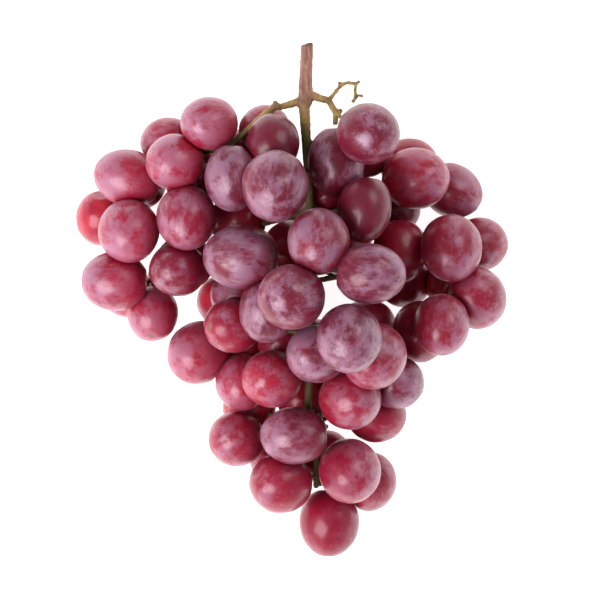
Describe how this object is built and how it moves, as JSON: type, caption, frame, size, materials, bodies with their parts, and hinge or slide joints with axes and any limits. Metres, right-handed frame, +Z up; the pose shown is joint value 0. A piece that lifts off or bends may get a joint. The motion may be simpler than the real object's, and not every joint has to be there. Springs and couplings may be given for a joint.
{
  "type": "bunch of grapes",
  "caption": "Bunch of red table grapes on its stem: crowded oval berries with a waxy bloom, a tapering tip and a cut peduncle, lying on its back.",
  "frame": {"origin": "on the table, under the middle of the bunch's box", "axes": "+Z up from the table, +Y along the bunch toward the peduncle's cut end, +X to the right as seen from above with the peduncle up"},
  "size_m": [0.1656, 0.197, 0.0915],
  "materials": {
    "berries": "satin skin with a patchy waxy bloom",
    "stem": "matt, brown at the cut end to green inside"
  },
  "bodies": {
    "root": {"berries_crown": "berries", "berries_heart": "berries", "berries_left_shoulder": "berries", "berries_left_wing": "berries", "berries_lower_left": "berries", "berries_lower_right": "berries", "berries_right_shoulder": "berries", "berries_right_wing": "berries", "berries_tip": "berries", "stem": "stem"}
  },
  "joints": []
}
